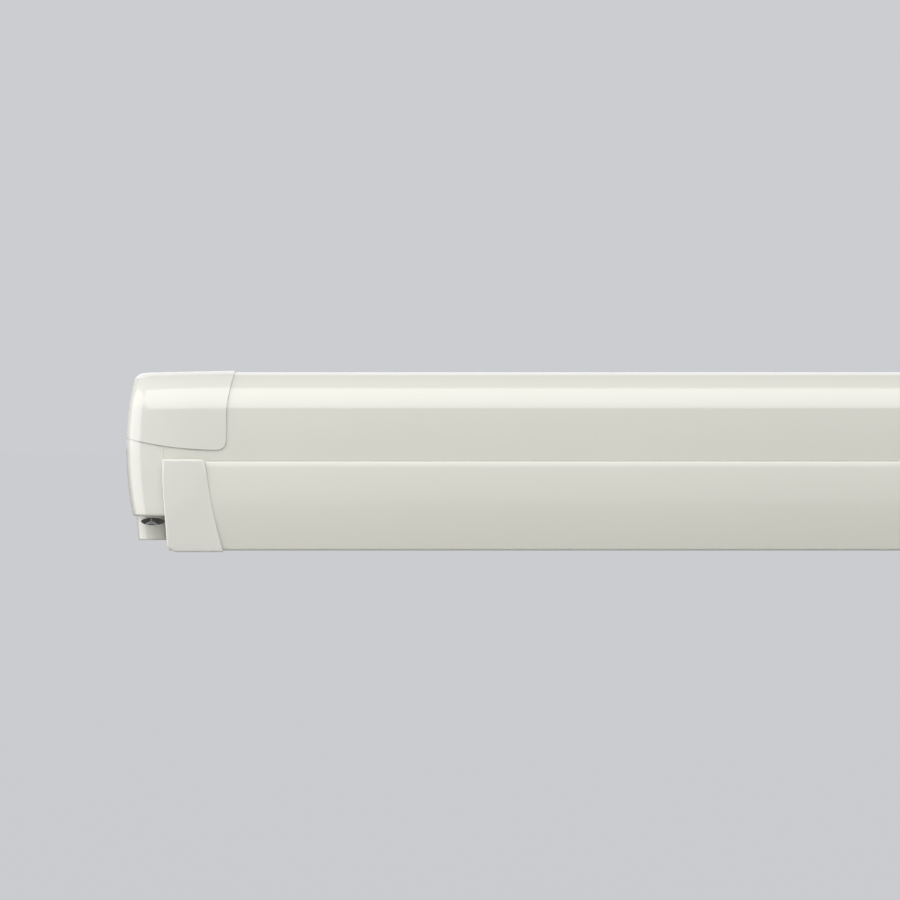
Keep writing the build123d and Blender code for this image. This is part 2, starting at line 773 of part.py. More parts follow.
def make_rail_and_legs():
    save("lead_rail_profile", *lead_rail())
    both_ends("rail_cap", rail_cap())
    save("front_bead", rod_x(keder_radius, (-canvas_half, canvas_half), -bead_depth, -bead_height))
    left = leg_parts((front_channel_y + web_y) / 2)
    right = leg_parts((rear_channel_y + rear_wall_y) / 2)
    for part in ("head", "tube", "clamp", "lever", "inner", "foot"):
        save("leg_" + part + "_left", left[part])
        save("leg_" + part + "_right", mirrored(right[part]))
    save("leg_pins", left["pin"], mirrored(right["pin"]))


os.makedirs("parts", exist_ok=True)
make_cassette()
make_drive()
make_arms()
make_rail_and_legs()
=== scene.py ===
import json
import math

import bmesh
import bpy
from mathutils import Matrix, Vector


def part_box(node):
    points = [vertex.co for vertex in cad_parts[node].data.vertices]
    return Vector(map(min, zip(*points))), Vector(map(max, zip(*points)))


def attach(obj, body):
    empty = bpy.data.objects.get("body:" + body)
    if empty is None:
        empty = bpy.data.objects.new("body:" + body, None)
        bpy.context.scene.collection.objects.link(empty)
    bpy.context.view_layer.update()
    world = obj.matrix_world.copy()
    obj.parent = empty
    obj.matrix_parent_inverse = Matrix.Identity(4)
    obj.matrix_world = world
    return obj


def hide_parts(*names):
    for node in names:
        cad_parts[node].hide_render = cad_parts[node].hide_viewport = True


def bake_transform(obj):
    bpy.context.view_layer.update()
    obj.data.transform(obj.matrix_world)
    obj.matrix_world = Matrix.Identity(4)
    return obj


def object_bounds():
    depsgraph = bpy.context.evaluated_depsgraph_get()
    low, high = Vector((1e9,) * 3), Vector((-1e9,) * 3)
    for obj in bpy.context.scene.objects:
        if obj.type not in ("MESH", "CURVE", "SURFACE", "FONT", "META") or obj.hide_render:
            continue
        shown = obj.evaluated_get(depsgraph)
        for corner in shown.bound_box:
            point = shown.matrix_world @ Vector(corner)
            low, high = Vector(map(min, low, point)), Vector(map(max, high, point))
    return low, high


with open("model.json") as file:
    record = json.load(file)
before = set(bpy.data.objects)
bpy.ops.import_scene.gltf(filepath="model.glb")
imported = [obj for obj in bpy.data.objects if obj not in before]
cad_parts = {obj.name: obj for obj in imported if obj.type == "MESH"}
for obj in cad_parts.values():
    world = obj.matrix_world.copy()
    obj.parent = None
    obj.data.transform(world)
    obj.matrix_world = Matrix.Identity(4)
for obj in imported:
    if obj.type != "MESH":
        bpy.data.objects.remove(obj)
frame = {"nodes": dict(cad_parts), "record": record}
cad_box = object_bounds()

# Lengths are in metres and angles in degrees.
# X runs along the awning, the front faces -Y and Z is up.
MM = 0.001

# Places that the frame gives
REACH = cad_box[1][0]
HOOD_LOW, HOOD_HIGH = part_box("hood_profile")
RAIL_LOW, RAIL_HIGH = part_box("lead_rail_profile")
BEAD_LOW, BEAD_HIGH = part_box("front_bead")
ROLL_LOW, ROLL_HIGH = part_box("canvas_roll")
TUBE_LOW, TUBE_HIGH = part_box("roller_tube")
EYE_LOW, EYE_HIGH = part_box("crank_eye")
BEAD_HEIGHT = (BEAD_LOW.z + BEAD_HIGH.z) / 2
CAP_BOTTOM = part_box("end_body_right")[0].z

# Canvas
CANVAS_THICK = 0.42 * MM
WRAP_PITCH = 0.5 * MM
STEPS_A_TURN = 40
STRETCH_STEPS = 60
STITCH_PITCH = 4.0 * MM
STITCH_SIZE = (1.4 * MM, 0.3 * MM, 0.25 * MM)
STITCH_BACK = 0.9 * MM
STITCH_RISE = 0.35 * MM

# Edges
SMOOTH_ANGLE = 28
CANVAS_SMOOTH_ANGLE = 30
BEVEL_ANGLE = 35
BEVEL_SEGMENTS = 3
HOOD_EASE = 0.2 * MM
RAIL_EASE = 0.3 * MM
CAP_EASE = 0.25 * MM
BOSS_EASE = 0.35 * MM
HAIRLINE = 0.08 * MM

# Hood extrusion
WALL = 2.0 * MM
HOOD_RADIUS = 26.0 * MM
HOOD_STEPS = 40
HOOD_LIP = 4.0 * MM
LIP_DEPTH = 7.0 * MM
BACK_LIP = 14.0 * MM
FACE_LEAN = 1.6
FACE_FALL = 20.0 * MM
FACE_STEPS = 8
LEAST_SLICE = 0.5 * MM

# Lead rail extrusion
CHANNEL = 17.0 * MM
RAIL_WEB = 1.5 * MM
RAIL_EDGE = 1.6 * MM
RAIL_CROWN = 1.1 * MM
CROWN_STEPS = 8
EDGE_STEPS = 8
REAR_TOP = 20.0 * MM
GROOVE = 3.2 * MM
GROOVE_WALL = 1.4 * MM
GROOVE_MOUTH = 2.4 * MM
GROOVE_START = 246
GROOVE_END = 294
INNER_MOUTH_SHARE = 1.4
RING_STEPS = 24
UNDER_STEPS = 6

# How the whole end is formed: the front rounds off and the roof falls, towards the end
CAP_FORM = 72.0 * MM
CAP_SLICES = 36
FRONT_ROUND = 7.5 * MM
FRONT_SPAN = 46.0 * MM
ROUND_FROM = 30.0 * MM
ROUND_BLEND = 50.0 * MM
ROOF_FALL = 1.4 * MM
FALL_FROM = 30.0 * MM
FALL_BLEND = 30.0 * MM

# End caps: depths are measured in from the awning's end
HOOD_FRONT = -HOOD_LOW.y
WALL_GAP = -HOOD_HIGH.y
HOOD_END = REACH - HOOD_HIGH.x
RAIL_CAP_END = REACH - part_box("rail_cap_right")[1].x
COVER_PROUD = 1.0 * MM
COVER_WALL = 0.9 * MM
BODY_WALL = 1.5 * MM
PLAN_CORNER = 11.0 * MM
BULGE = 4.8 * MM
BULGE_MIDDLE = 8.5 * MM
SHOULDER = 54.5 * MM
TOP_CORNER = 6.5 * MM
ARC_LEVEL = 34.0 * MM
SEAM_LOW = 7.4 * MM
SEAM_RISE = 8.0 * MM
SEAM_FLAT = 62.3 * MM
SEAM_CORNER = 6.0 * MM
COVER_FLAT = 68.3 * MM
COVER_SWEEP = 5.4 * MM
SWEEP_LOW = 30.0 * MM
SWEEP_SPAN = 40.0 * MM
FOOT_ROUND = 1.6 * MM
FACE_ROWS = 12
ARC_ROWS = 18
FOOT_ROWS = 5
BODY_ROWS = 14
SIDE_STEPS = 12
CORNER_STEPS = 12
FRONT_STEPS = 40
GAP = 0.25 * MM
CAP_STEP = 1.6 * MM
LEAN_TOP = -15.0 * MM
LEAN = 3.0 / 39.0

# Rail caps: the rounded rim of the front face
PILLOW_RISE = 0.9 * MM
PILLOW_RIM = 1.5 * MM
PILLOW_RINGS = 5
FACING_FRONT = -0.99
PLACE_DIGITS = 5
MERGE = 0.002 * MM
FLAT_ANGLE = 0.6

# Crank boss: each ring's inset from the end, height, half width and half depth in millimetres
BOSS_RINGS = (
    (16.5, -35.8, 10.3, 8.8),
    (16.6, -39.0, 10.4, 8.5),
    (17.6, -52.7, 10.2, 7.8),
    (17.7, -53.5, 9.6, 7.2),
)
BORE_RINGS = ((16.5, -31.0, 8.4, 6.8), (17.5, -54.5, 8.7, 6.2))
BOSS_SIDES = 64
SLOT_INSET = 17.5 * MM
SLOT_DROP = 3.9 * MM
SLOT_LENGTH = 30.0 * MM
SLOT_HALF = (8.0 * MM, 2.5 * MM)
SLOT_SIDES = 48

# Small round pieces set in rows, and the wall brackets' screws
ROD_SEGMENTS = 10
ROD_RINGS = 6
SCREW_FIT_SHARE = 0.97
SCREW_HEIGHT_SHARE = 0.6

# Camera: the photograph looks straight at the left end through a long lens
VIEW_CENTRE = Vector((-1.0816, 0.0, 0.0074))
VIEW_WIDTH = 0.603
VIEW_DISTANCE = 2.98
VIEW_LIMIT = 9000
SENSOR = 36.0

# Colours, as linear values
CREAM = (0.66, 0.655, 0.585, 1)
CREAM_MOULDED = (0.665, 0.66, 0.60, 1)
BLACK = (0.012, 0.012, 0.013, 1)
CANVAS_GREY = (0.23, 0.25, 0.27, 1)
CANVAS_PALE = (0.52, 0.53, 0.52, 1)
ZINC = (0.52, 0.53, 0.55, 1)
ALLOY = (0.66, 0.67, 0.69, 1)
WHITE = (1, 1, 1, 1)
BACKDROP = (0.60, 0.61, 0.63, 1)
FLOOR_TONE = (0.48, 0.49, 0.50, 1)

# Canvas print: radians of a sine along each metre, the level above which it is pale, and the
# scale of the weave
STRIPE_TURN = 21.0
STRIPE_LEVEL = 0.35
THREADS = 700.0

# Where a colour mix node takes its factor and colours, and where it gives its result
MIX_FACTOR, MIX_FIRST, MIX_SECOND = 0, 6, 7
MIX_RESULT = 2

# Studio
FILL = 0.37
FLOOR_LEVEL = -2.4
FLOOR_SIZE = 6000
GLOW_SHARE = 0.75
FLOOR_GLOW = 1.2

# Each lamp's name, place, aim, size and power in watts
LAMPS = (
    ("bank_front", (-1.15, -1.8, 1.42), (-1.15, -0.08, 0.0), (3.0, 2.7), 49),
    ("bank_right", (1.75, -1.8, 1.42), (1.75, -0.08, 0.0), (2.8, 2.7), 20),
    ("bank_back", (0.0, 2.4, 1.3), (0.0, 0.0, 0.0), (5.0, 2.0), 17),
    ("bank_left", (-2.3, -0.3, 0.15), (-1.3, -0.06, 0.0), (1.5, 1.6), 12),
)


class Socket:
    """A shader socket that takes part in arithmetic."""

    def __init__(self, graph, link):
        self.graph = graph
        self.link = link

    def math(self, operation, *others):
        values = dict(enumerate((self, *others)))
        return self.graph.add("ShaderNodeMath", {"operation": operation}, values)

    def __add__(self, other):
        return self.math("ADD", other)

    def __mul__(self, other):
        return self.math("MULTIPLY", other)

    def __gt__(self, other):
        return self.math("GREATER_THAN", other)


class Graph:
    """A shader node tree that is built by calls which give back sockets."""

    def __init__(self, tree):
        self.nodes = tree.nodes
        self.links = tree.links

    def add(self, kind, settings, values, output=0):
        node = self.nodes.new(kind)
        for key, value in settings.items():
            setattr(node, key, value)
        for key, value in values.items():
            self.feed(node, key, value)
        return Socket(self, node.outputs[output])

    def feed(self, node, key, value):
        """Links a socket into a node's input, or sets a plain value there."""
        if isinstance(value, Socket):
            self.links.new(value.link, node.inputs[key])
        else:
            node.inputs[key].default_value = value

    def rays(self, first, *others):
        """One for rays of any of these kinds, nought for all others."""
        path = self.nodes.new("ShaderNodeLightPath")
        found = Socket(self, path.outputs[first])
        for kind in others:
            found = found.math("MAXIMUM", Socket(self, path.outputs[kind]))
        return found


class Finish(Graph):
    """One material, with the nodes that feed its main shader."""

    def __init__(self, name, **fixed):
        self.material = bpy.data.materials.new(name)
        self.material.use_nodes = True
        super().__init__(self.material.node_tree)
        self.shader = self.nodes["Principled BSDF"]
        for socket, value in fixed.items():
            self.set(socket.replace("_", " "), value)
        self.place = self.add("ShaderNodeTexCoord", {}, {}, "Object")

    def set(self, socket, value):
        self.feed(self.shader, socket, value)

    def stretched(self, scale):
        return self.add("ShaderNodeMapping", {}, {"Vector": self.place, "Scale": scale})

    def noise(self, scale, detail=3.0, vector=None):
        values = {"Vector": vector or self.place, "Scale": scale, "Detail": detail}
        return self.add("ShaderNodeTexNoise", {}, values)

    def blend(self, factor, low, high, kind="MIX"):
        settings = {"data_type": "RGBA", "blend_type": kind}
        values = {MIX_FACTOR: factor, MIX_FIRST: low, MIX_SECOND: high}
        return self.add("ShaderNodeMix", settings, values, MIX_RESULT)

    def roughen(self, pattern, least, spread):
        self.set("Roughness", pattern * spread + least)

    def bump(self, height, strength, distance):
        values = {"Height": height, "Strength": strength, "Distance": distance}
        self.set("Normal", self.add("ShaderNodeBump", {}, values))


def darker(colour, share):
    return tuple(channel * share for channel in colour[:3]) + (1,)


def painted(name, colour, roughness, grain):
    """Satin powder coat or moulded plastic: faint mottle, soft orange peel."""
    finish = Finish(name, Coat_Weight=1.0, Coat_Roughness=0.06, Coat_IOR=1.6)
    mottle = finish.noise(scale=9.0, detail=4.0)
    finish.set("Base Color", finish.blend(mottle, darker(colour, share=0.965), colour))
    finish.roughen(finish.noise(scale=60.0), least=roughness, spread=0.08)
    finish.bump(finish.noise(grain, detail=2.0), strength=0.06, distance=0.4 * MM)
    return finish.material


def rubbery(name, colour):
    """Matt black rubber or nylon with a fine grain."""
    finish = Finish(name)
    mottle = finish.noise(scale=40.0)
    finish.set("Base Color", finish.blend(mottle, colour, darker(colour, share=2.2)))
    finish.roughen(finish.noise(scale=120.0), least=0.6, spread=0.2)
    finish.bump(finish.noise(scale=900.0), strength=0.25, distance=0.3 * MM)
    return finish.material


def metal(name, colour, roughness, stretch):
    """Drawn, plated or cast metal, with its grain along the given stretch."""
    finish = Finish(name, Metallic=1.0)
    grain = finish.noise(scale=30.0, detail=5.0, vector=finish.stretched(stretch))
    finish.set("Base Color", finish.blend(grain, darker(colour, share=0.82), colour))
    finish.roughen(grain, least=roughness, spread=0.2)
    finish.bump(grain, strength=0.12, distance=0.2 * MM)
    return finish.material


def woven(name):
    """Coated awning cloth: broad stripes across the width and a fine plain weave."""
    finish = Finish(name)
    across = finish.add("ShaderNodeSeparateXYZ", {}, {"Vector": finish.place}, "X")
    stripe = (across * STRIPE_TURN).math("SINE") > STRIPE_LEVEL
    weave = {"Vector": finish.place, "Scale": THREADS}
    threads = finish.add("ShaderNodeTexWave", {"wave_type": "BANDS"}, weave, 1)
    colour = finish.blend(stripe, CANVAS_GREY, CANVAS_PALE)
    wear = finish.noise(scale=25.0) * 0.3
    shade = darker(CANVAS_PALE, share=0.8)
    finish.set("Base Color", finish.blend(wear, colour, shade, kind="MULTIPLY"))
    finish.roughen(finish.noise(scale=80.0), least=0.72, spread=0.1)
    finish.bump(threads, strength=0.2, distance=0.2 * MM)
    return finish.material


FINISHES = {
    "paint": painted("cream_coat", CREAM, roughness=0.3, grain=1400.0),
    "cap": painted("cream_moulding", CREAM_MOULDED, roughness=0.36, grain=2200.0),
    "rubber": rubbery("black_rubber", BLACK),
    "nylon": rubbery("black_nylon", darker(BLACK, share=1.6)),
    "canvas": woven("awning_cloth"),
    "steel": metal("zinc_steel", ZINC, roughness=0.28, stretch=(1, 1, 6)),
    "alloy": metal("drawn_alloy", ALLOY, roughness=0.3, stretch=(0.05, 4, 4)),
    "cast": metal("cast_alloy", darker(ALLOY, share=0.85), roughness=0.42, stretch=(1, 1, 1)),
}
SLOTS = {part["node"]: part["material_slot"] for part in frame["record"]["subparts"]}
BODIES = {
    node: body
    for body, nodes in frame["record"]["behaviour"]["bodies"].items()
    for node in nodes
}


def finished(obj, slot):
    """Gives an object the one material of its slot."""
    obj.data.materials.clear()
    obj.data.materials.append(FINISHES[slot])


def placed(name, mesh):
    obj = bpy.data.objects.new(name, mesh)
    bpy.context.scene.collection.objects.link(obj)
    return obj


def new_piece(name, mesh, slot):
    piece = placed(name, mesh)
    finished(piece, slot)
    return piece


def as_mesh(name, work):
    """A plain mesh from the work in hand, with its faces turned outwards."""
    bmesh.ops.recalc_face_normals(work, faces=work.faces)
    mesh = bpy.data.meshes.new(name)
    work.to_mesh(mesh)
    work.free()
    return mesh


def rings_joined(work, rings):
    """Quads between each closed ring of points and the next, and the two ends."""
    for one, two in zip(rings, rings[1:]):
        for index in range(len(one)):
            after = (index + 1) % len(one)
            work.faces.new((one[index], one[after], two[after], two[index]))
    work.faces.new(rings[0])
    work.faces.new(rings[-1])


def smooth_shaded(mesh, angle):
    mesh.polygons.foreach_set("use_smooth", [True] * len(mesh.polygons))
    mesh.set_sharp_from_angle(angle=math.radians(angle))


def smooth_with_bevel(piece, width):
    smooth_shaded(piece.data, SMOOTH_ANGLE)
    bevel = piece.modifiers.new("eased_edges", "BEVEL")
    bevel.width = width
    bevel.segments = BEVEL_SEGMENTS
    bevel.limit_method = "ANGLE"
    bevel.angle_limit = math.radians(BEVEL_ANGLE)
    bevel.harden_normals = True


def evaluated_mesh(obj):
    """A new mesh of an object with its modifiers carried out."""
    evaluated = obj.evaluated_get(bpy.context.evaluated_depsgraph_get())
    return bpy.data.meshes.new_from_object(evaluated)


def arc(centre, radius, start, end, steps):
    """Points on a circle in (y, z), between two angles."""
    angles = [math.radians(start + (end - start) * step / steps) for step in range(steps + 1)]
    return [(centre[0] + radius * math.cos(a), centre[1] + radius * math.sin(a)) for a in angles]


def clamped(value):
    return min(max(value, 0), 1)


def eased_step(share):
    share = clamped(share)
    return share * share * (3 - 2 * share)


def extruded(name, node, section, stations, ease, form=None):
    """A closed (y, z) outline run along X in place of a node, with its sharp edges eased."""
    work = bmesh.new()
    rings_joined(work, [[work.verts.new((x, y, z)) for y, z in section] for x in stations])
    if form:
        for vert in work.verts:
            vert.co = form(vert.co)
    piece = new_piece(name, as_mesh(name, work), "paint")
    smooth_with_bevel(piece, ease)
    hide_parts(node)
    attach(piece, BODIES[node])


def cap_form(place):
    """Where a point near an end goes: the front rounds off and the roof falls outwards."""
    x, y, z = place
    depth = REACH - abs(x)
    front = clamped((-y - ROUND_FROM) / ROUND_BLEND)
    top = clamped((z - FALL_FROM) / FALL_BLEND)
    y += FRONT_ROUND * max(1 - depth / FRONT_SPAN, 0) ** 2 * front
    z -= ROOF_FALL * max(1 - depth / CAP_FORM, 0) * top
    return Vector((x, y, z))


def hood():
    """The hood as one extrusion: roof, round corner, leaning face, front and inner lips."""
    front, back, top = HOOD_LOW.y, HOOD_HIGH.y, HOOD_HIGH.z
    bottom = RAIL_HIGH.z + HAIRLINE
    lean = math.radians(FACE_LEAN)
    lean_depth = FACE_FALL * lean / 2
    centre = (front + lean_depth + HOOD_RADIUS * math.cos(lean), top - HOOD_RADIUS)
    face_top = centre[1] + HOOD_RADIUS * math.sin(lean)
    inside = front + WALL
    lip_back = inside + LIP_DEPTH
    lip_top = HOOD_LIP + WALL
    under = top - WALL
    hook = under - BACK_LIP
    section = [(back, top)]
    section += arc(centre, HOOD_RADIUS, 90, 180 - FACE_LEAN, HOOD_STEPS)
    for step in range(1, FACE_STEPS + 1):
        share = step / FACE_STEPS
        section.append((front + lean_depth * (1 - share) ** 2, face_top - FACE_FALL * share))
    section += [(front, bottom), (inside, bottom), (inside, HOOD_LIP), (lip_back, HOOD_LIP)]
    section += [(lip_back, lip_top), (inside, lip_top)]
    section += arc(centre, HOOD_RADIUS - WALL, 180, 90, HOOD_STEPS)
    section += [(back - 2 * WALL, under), (back - 2 * WALL, hook)]
    section += [(back - WALL, hook), (back - WALL, under), (back, under)]
    slices = [REACH - CAP_FORM * step / CAP_SLICES for step in range(CAP_SLICES + 1)]
    near_end = [x for x in slices if x < HOOD_HIGH.x - LEAST_SLICE]
    stations = sorted([HOOD_LOW.x, HOOD_HIGH.x] + near_end + [-x for x in near_end])
    extruded("hood", "hood_profile", section, stations, HOOD_EASE, cap_form)


def bead_groove(step_top):
    """The open ring round the canvas's bead, which stands on the rail's rear step."""
    centre = ((BEAD_LOW.y + BEAD_HIGH.y) / 2, BEAD_HEIGHT)
    outside = GROOVE + GROOVE_WALL
    mouth = math.degrees(math.asin(GROOVE_MOUTH / 2 / outside))
    inner_mouth = mouth * INNER_MOUTH_SHARE
    ring = arc(centre, outside, GROOVE_START, mouth, RING_STEPS)
    ring += arc(centre, GROOVE, inner_mouth, 360 - inner_mouth, RING_STEPS)
    ring += arc(centre, outside, 360 - mouth, GROOVE_END, UNDER_STEPS)
    return [(y, max(z, step_top)) for y, z in ring]


def rail():
    """The lead rail as one extrusion: a crowned front, two leg channels and the bead groove."""
    front, back, foot, top = RAIL_LOW.y, RAIL_HIGH.y, RAIL_LOW.z, RAIL_HIGH.z
    edge = front + RAIL_CROWN + RAIL_EDGE
    lining = front + WALL + RAIL_CROWN
    web = front + WALL + CHANNEL
    rear = web + RAIL_WEB
    inner_back = back - WALL
    step_top = -REAR_TOP
    middle = (foot + top) / 2
    half = (top - foot) / 2 - RAIL_EDGE
    section = arc((edge, foot + RAIL_EDGE), RAIL_EDGE, 270, 180, EDGE_STEPS)
    for step in range(1 - CROWN_STEPS, CROWN_STEPS):
        share = step / CROWN_STEPS
        section.append((front + RAIL_CROWN * share ** 2, middle + half * share))
    section += arc((edge, top - RAIL_EDGE), RAIL_EDGE, 180, 90, EDGE_STEPS)
    section += [(rear, top), (rear, step_top)]
    section += bead_groove(step_top)
    section += [(back, step_top), (back, foot), (inner_back, foot), (inner_back, step_top - WALL)]
    section += [(rear, step_top - WALL), (rear, foot)]
    section += [(web, foot), (web, top - WALL), (lining, top - WALL), (lining, foot)]
    extruded("rail", "lead_rail_profile", section, (RAIL_LOW.x, RAIL_HIGH.x), RAIL_EASE)


def rim_rounded(work):
    """Rounds the rim of the front face: the face goes back, then comes out in rising rings."""
    work.normal_update()
    facing = [face for face in work.faces if face.normal.y < FACING_FRONT]
    places = [round(face.calc_center_median().y, PLACE_DIGITS) for face in facing]
    foremost = [face for face, place in zip(facing, places) if place == min(places)]
    front = max(foremost, key=lambda face: face.calc_area())
    for vert in front.verts:
        vert.co.y += PILLOW_RISE
    inset, rise = 0.0, 0.0
    for step in range(1, PILLOW_RINGS + 1):
        angle = math.pi / 2 * step / PILLOW_RINGS
        next_inset, next_rise = PILLOW_RIM * (1 - math.cos(angle)), PILLOW_RISE * math.sin(angle)
        bmesh.ops.inset_individual(
            work, faces=[front], use_even_offset=True,
            thickness=next_inset - inset, depth=next_rise - rise)
        inset, rise = next_inset, next_rise


def rail_cap(node):
    """A copy of a rail cap with its front rim rounded and its other edges eased."""
    name = node + "_eased"
    work = bmesh.new()
    work.from_mesh(frame["nodes"][node].data)
    bmesh.ops.remove_doubles(work, verts=work.verts, dist=MERGE)
    flat = math.radians(FLAT_ANGLE)
    bmesh.ops.dissolve_limit(work, angle_limit=flat, verts=work.verts, edges=work.edges)
    rim_rounded(work)
    piece = new_piece(name, as_mesh(name, work), SLOTS[node])
    smooth_with_bevel(piece, CAP_EASE)
    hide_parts(node)
    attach(piece, BODIES[node])


def seam_height(depth):
    """The cover's lower edge: falling from the cap's side, level, then up round a corner."""
    past = depth - SEAM_FLAT
    if past < 0:
        return SEAM_LOW + SEAM_RISE * (past / SEAM_FLAT) ** 2
    return SEAM_LOW + SEAM_CORNER - math.sqrt(max(SEAM_CORNER ** 2 - past ** 2, 0))


def side_depth(z):
    """How far in the cap's bulging side lies at a height, with its rounded top corner."""
    if z <= SHOULDER:
        return BULGE * ((z - BULGE_MIDDLE) / (SHOULDER - BULGE_MIDDLE)) ** 2
    rise = min(z - SHOULDER, TOP_CORNER)
    return BULGE + TOP_CORNER - math.sqrt(TOP_CORNER ** 2 - rise ** 2)


def cover_height(row, depth):
    """The cover's rows: evenly up its face from the seam, then round the roof's corner."""
    low = seam_height(depth)
    if row < FACE_ROWS:
        return low + (ARC_LEVEL - low) * row / FACE_ROWS
    angle = math.pi / 2 * (row - FACE_ROWS) / ARC_ROWS
    return ARC_LEVEL + (HOOD_RADIUS + COVER_PROUD) * math.sin(angle)


def cover_inner(z):
    """The cover's inner edge, which sweeps inwards towards the roof."""
    return COVER_FLAT + COVER_SWEEP * eased_step((z - SWEEP_LOW) / SWEEP_SPAN)


def body_height(row, depth):
    """The lower cap's rows: round its foot, then evenly up to the seam."""
    if row < FOOT_ROWS:
        return CAP_BOTTOM + FOOT_ROUND * (1 - math.cos(math.pi / 2 * row / FOOT_ROWS))
    low = CAP_BOTTOM + FOOT_ROUND
    return low + (seam_height(depth) - HAIRLINE - low) * (row - FOOT_ROWS) / BODY_ROWS


def body_inner(z):
    """The lower cap's inner edge follows the hood's end and the rail cap's lean."""
    if z > CAP_STEP:
        return HOOD_END - HAIRLINE
    return RAIL_CAP_END - GAP + LEAN * max(LEAN_TOP - z, 0)


def cap_row(side, height, inner, row, proud):
    """One level of a cap: along its side from the wall, round the corner, along its front."""
    level = height(row, BULGE)
    foot = max(CAP_BOTTOM + FOOT_ROUND - level, 0)
    inset = FOOT_ROUND - math.sqrt(FOOT_ROUND ** 2 - foot ** 2)
    rise = max(level - ARC_LEVEL, 0)
    radius = HOOD_RADIUS + proud
    front = -HOOD_FRONT - proud + radius - math.sqrt(max(radius ** 2 - rise ** 2, 0)) + inset
    back = -WALL_GAP
    outer = side_depth(level) + inset
    corner = PLAN_CORNER - inset
    side_run = front + corner - back
    plan = [(outer, back + side_run * step / SIDE_STEPS) for step in range(SIDE_STEPS)]
    for step in range(CORNER_STEPS):
        angle = math.pi / 2 * step / CORNER_STEPS
        plan.append((outer + corner * (1 - math.cos(angle)), front + corner * (1 - math.sin(angle))))
    start, end = outer + corner, inner(level)
    plan += [(start + (end - start) * step / FRONT_STEPS, front) for step in range(FRONT_STEPS + 1)]
    plan.append((end, back))
    return [cap_form(Vector((side * (REACH - depth), y, height(row, depth)))) for depth, y in plan]


def cap_piece(node, side, height, inner, rows, proud, thickness, tool=None):
    """One moulded shell of an end cap, from its levels and a flat lid or floor.

    Each level ends with a point on the wall that only the lid or floor uses."""
    name = node + "_shell"
    work = bmesh.new()
    levels = []
    for row in range(rows + 1):
        levels.append([work.verts.new(place) for place in cap_row(side, height, inner, row, proud)])
    for one, two in zip(levels, levels[1:]):
        for index in range(len(one) - 2):
            work.faces.new((one[index], one[index + 1], two[index + 1], two[index]))
    work.faces.new(levels[-1] if proud else levels[0])
    for level in levels:
        if not level[-1].link_faces:
            work.verts.remove(level[-1])
    piece = new_piece(name, as_mesh(name, work), SLOTS[node])
    shell = piece.modifiers.new("thickness", "SOLIDIFY")
    shell.thickness = thickness
    shell.offset = -1
    if tool:
        cut(piece, tool)
    smooth_with_bevel(piece, CAP_EASE)
    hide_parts(node)
    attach(piece, BODIES[node])


def caps():
    """The end caps' moulded forms, and the crank's boss under the left one."""
    cover_rows = FACE_ROWS + ARC_ROWS
    body_rows = FOOT_ROWS + BODY_ROWS
    for side, word in ((-1, "left"), (1, "right")):
        cover, body = "end_cover_" + word, "end_body_" + word
        cap_piece(cover, side, cover_height, cover_inner, cover_rows, COVER_PROUD, COVER_WALL)
        tool = crank_boss() if side < 0 else None
        cap_piece(body, side, body_height, body_inner, body_rows, 0, BODY_WALL, tool)
        rail_cap("rail_cap_" + word)


def loft(name, rings, sides):
    """A closed tube through rings of a centre and two radii, with flat ends."""
    work = bmesh.new()
    angles = [2 * math.pi * side / sides for side in range(sides)]
    rings_joined(work, [
        [work.verts.new((x + wide * math.cos(a), y + deep * math.sin(a), z)) for a in angles]
        for (x, y, z), (wide, deep) in rings])
    return as_mesh(name, work)


def cut(target, tool):
    """Takes one closed shape out of another for good."""
    modifier = target.modifiers.new("cut", "BOOLEAN")
    modifier.operation = "DIFFERENCE"
    modifier.object = tool
    mesh = evaluated_mesh(target)
    target.modifiers.clear()
    target.data = mesh
    bpy.data.objects.remove(tool)


def crank_boss():
    """The oval boss under the left cap; gives back the tool that cuts its bore."""
    end = -REACH
    worm_y = (EYE_LOW.y + EYE_HIGH.y) / 2

    def rings(table):
        return [
            ((end + inset * MM, worm_y, z * MM), (wide * MM, deep * MM))
            for inset, z, wide, deep in table]

    def bore_tool():
        return placed("bore_tool", loft("bore_tool", rings(BORE_RINGS), BOSS_SIDES))

    boss = placed("crank_boss", loft("crank_boss", rings(BOSS_RINGS), BOSS_SIDES))
    cut(boss, bore_tool())
    slot_rings = [((0, 0, 0), SLOT_HALF), ((0, 0, SLOT_LENGTH), SLOT_HALF)]
    slot = loft("slot_tool", slot_rings, SLOT_SIDES)
    move = Matrix.Translation((end + SLOT_INSET, worm_y, CAP_BOTTOM - SLOT_DROP))
    slot.transform(move @ Matrix.Rotation(math.pi / 2, 4, "X"))
    cut(boss, placed("slot_tool", slot))
    finished(boss, "cap")
    smooth_with_bevel(boss, BOSS_EASE)
    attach(boss, "cassette")
    return bore_tool()


def wound_path(inner, outer, axis, end):
    """The canvas's line in (y, z): wound on the tube, then free to the rail's bead."""
    turns = (outer - inner) / WRAP_PITCH
    count = int(turns * STEPS_A_TURN)
    points = []
    for step in range(count + 1):
        share = step / count
        angle = -math.pi / 2 + (share - 1) * turns * 2 * math.pi
        radius = inner + share * (outer - inner)
        points.append(axis + Vector((radius * math.cos(angle), radius * math.sin(angle))))
    start = points[-1]
    for step in range(1, STRETCH_STEPS + 1):
        points.append(start.lerp(end, step / STRETCH_STEPS))
    return points


def canvas_row(work, point, ahead):
    """The canvas's four corners at one point of its line."""
    side = Vector((-ahead.y, ahead.x)).normalized() * CANVAS_THICK / 2
    return [
        work.verts.new((x, y, z))
        for y, z in (point + side, point - side)
        for x in (ROLL_LOW.x, ROLL_HIGH.x)]


